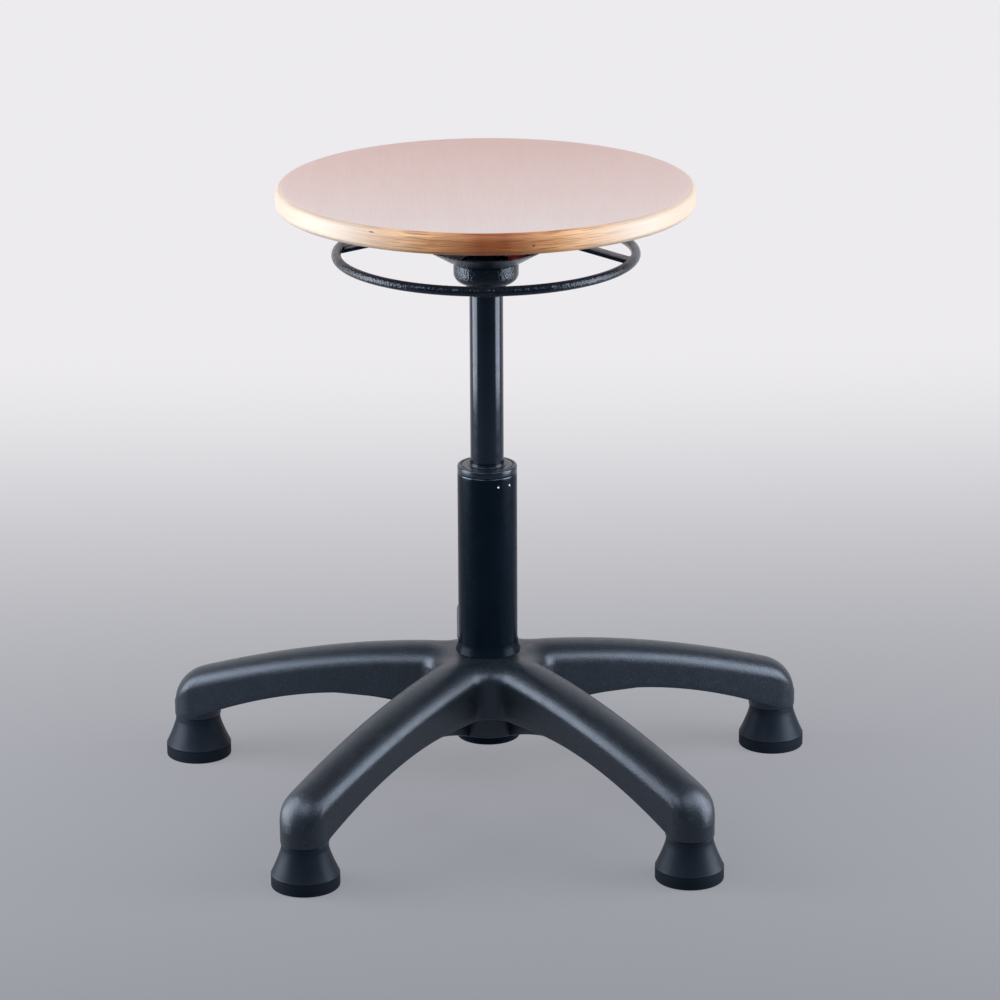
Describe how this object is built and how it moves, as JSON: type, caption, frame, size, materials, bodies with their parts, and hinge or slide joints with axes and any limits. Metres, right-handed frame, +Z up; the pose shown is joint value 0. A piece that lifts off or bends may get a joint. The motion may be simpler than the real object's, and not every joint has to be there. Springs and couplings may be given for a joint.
{
  "type": "stool",
  "caption": "Round plywood work stool on a gas lift that a ring under the seat releases, with a black five-star base on wide glides.",
  "frame": {"origin": "middle of the base's footprint on the floor", "axes": "+X to the right of the user in the picture's front view, +Y towards the back, where the first base arm points, +Z up; the column stands 25.2 mm in front of the origin"},
  "size_m": [0.5578, 0.5332, 0.527],
  "materials": {
    "plywood": "pale plywood under a satin clear coat",
    "black_coat": "glossy black powder coat on steel",
    "black_nylon": "glass-filled black nylon with a soft sheen",
    "dark_rubber": "matte black rubber",
    "grey_plastic": "light grey acetal",
    "red_plastic": "red moulded plastic",
    "zinc_steel": "zinc plated steel",
    "bright_steel": "ground and chromed steel"
  },
  "bodies": {
    "base": {"star_base": "black_nylon", "hub_sleeve": "black_coat", "stand_tube": "black_coat", "guide_bushing": "grey_plastic", "wiper_ring": "dark_rubber", "lower_washer": "bright_steel", "ball_cage": "bright_steel", "glide_pad_1": "dark_rubber", "glide_pad_2": "dark_rubber", "glide_pad_3": "dark_rubber", "glide_pad_4": "dark_rubber", "glide_pad_5": "dark_rubber", "glide_cone_1": "black_nylon", "glide_cone_2": "black_nylon", "glide_cone_3": "black_nylon", "glide_cone_4": "black_nylon", "glide_cone_5": "black_nylon", "glide_stem_1": "zinc_steel", "glide_stem_2": "zinc_steel", "glide_stem_3": "zinc_steel", "glide_stem_4": "zinc_steel", "glide_stem_5": "zinc_steel"},
    "rod": {"piston_rod": "bright_steel", "piston": "grey_plastic", "piston_ring": "dark_rubber", "upper_washer": "bright_steel", "rubber_buffer": "dark_rubber", "retaining_clip": "bright_steel"},
    "seat": {"seat_board": "plywood", "seat_insert_1": "zinc_steel", "seat_insert_2": "zinc_steel", "seat_insert_3": "zinc_steel", "seat_insert_4": "zinc_steel", "seat_screw_1": "zinc_steel", "seat_screw_2": "zinc_steel", "seat_screw_3": "zinc_steel", "seat_screw_4": "zinc_steel", "seat_plate": "black_coat", "lever_channel": "black_coat", "taper_socket": "black_coat", "hub_cup": "black_coat", "lever_pin": "bright_steel", "pressure_tube": "black_coat", "valve_housing": "bright_steel", "rod_guide": "grey_plastic", "rod_seal": "dark_rubber"},
    "ring": {"release_dish": "black_coat", "release_ring": "black_coat", "ring_arm_right": "black_coat", "ring_arm_left": "black_coat", "lift_block": "red_plastic"},
    "lever": {"valve_lever": "zinc_steel"},
    "valve": {"valve_pin": "bright_steel"}
  },
  "joints": [
    {"name": "swivel", "type": "hinge", "parent": "base", "child": "rod", "pos_m": [0, -0.02519, 0], "axis": [0, 0, 1], "continuous": true},
    {"name": "height", "type": "slide", "parent": "rod", "child": "seat", "axis": [0, 0, 1], "range_m": [-0.13, 0]},
    {"name": "ring_lift", "type": "slide", "parent": "seat", "child": "ring", "axis": [0, 0, 1], "range_m": [0, 0.004], "stiffness_N_per_m": 3000, "springref_m": -0.001},
    {"name": "lever_tilt", "type": "hinge", "parent": "seat", "child": "lever", "pos_m": [0.01, -0.02519, 0.4945], "axis": [0, -1, 0], "range_deg": [0, 14.6]},
    {"name": "valve_press", "type": "slide", "parent": "seat", "child": "valve", "axis": [0, 0, -1], "range_m": [0, 0.0031]}
  ],
  "couplings": [
    {"joint": "lever_tilt", "follows": "ring_lift", "rad_per_m": 62.5},
    {"joint": "valve_press", "follows": "ring_lift", "ratio": 0.75}
  ]
}
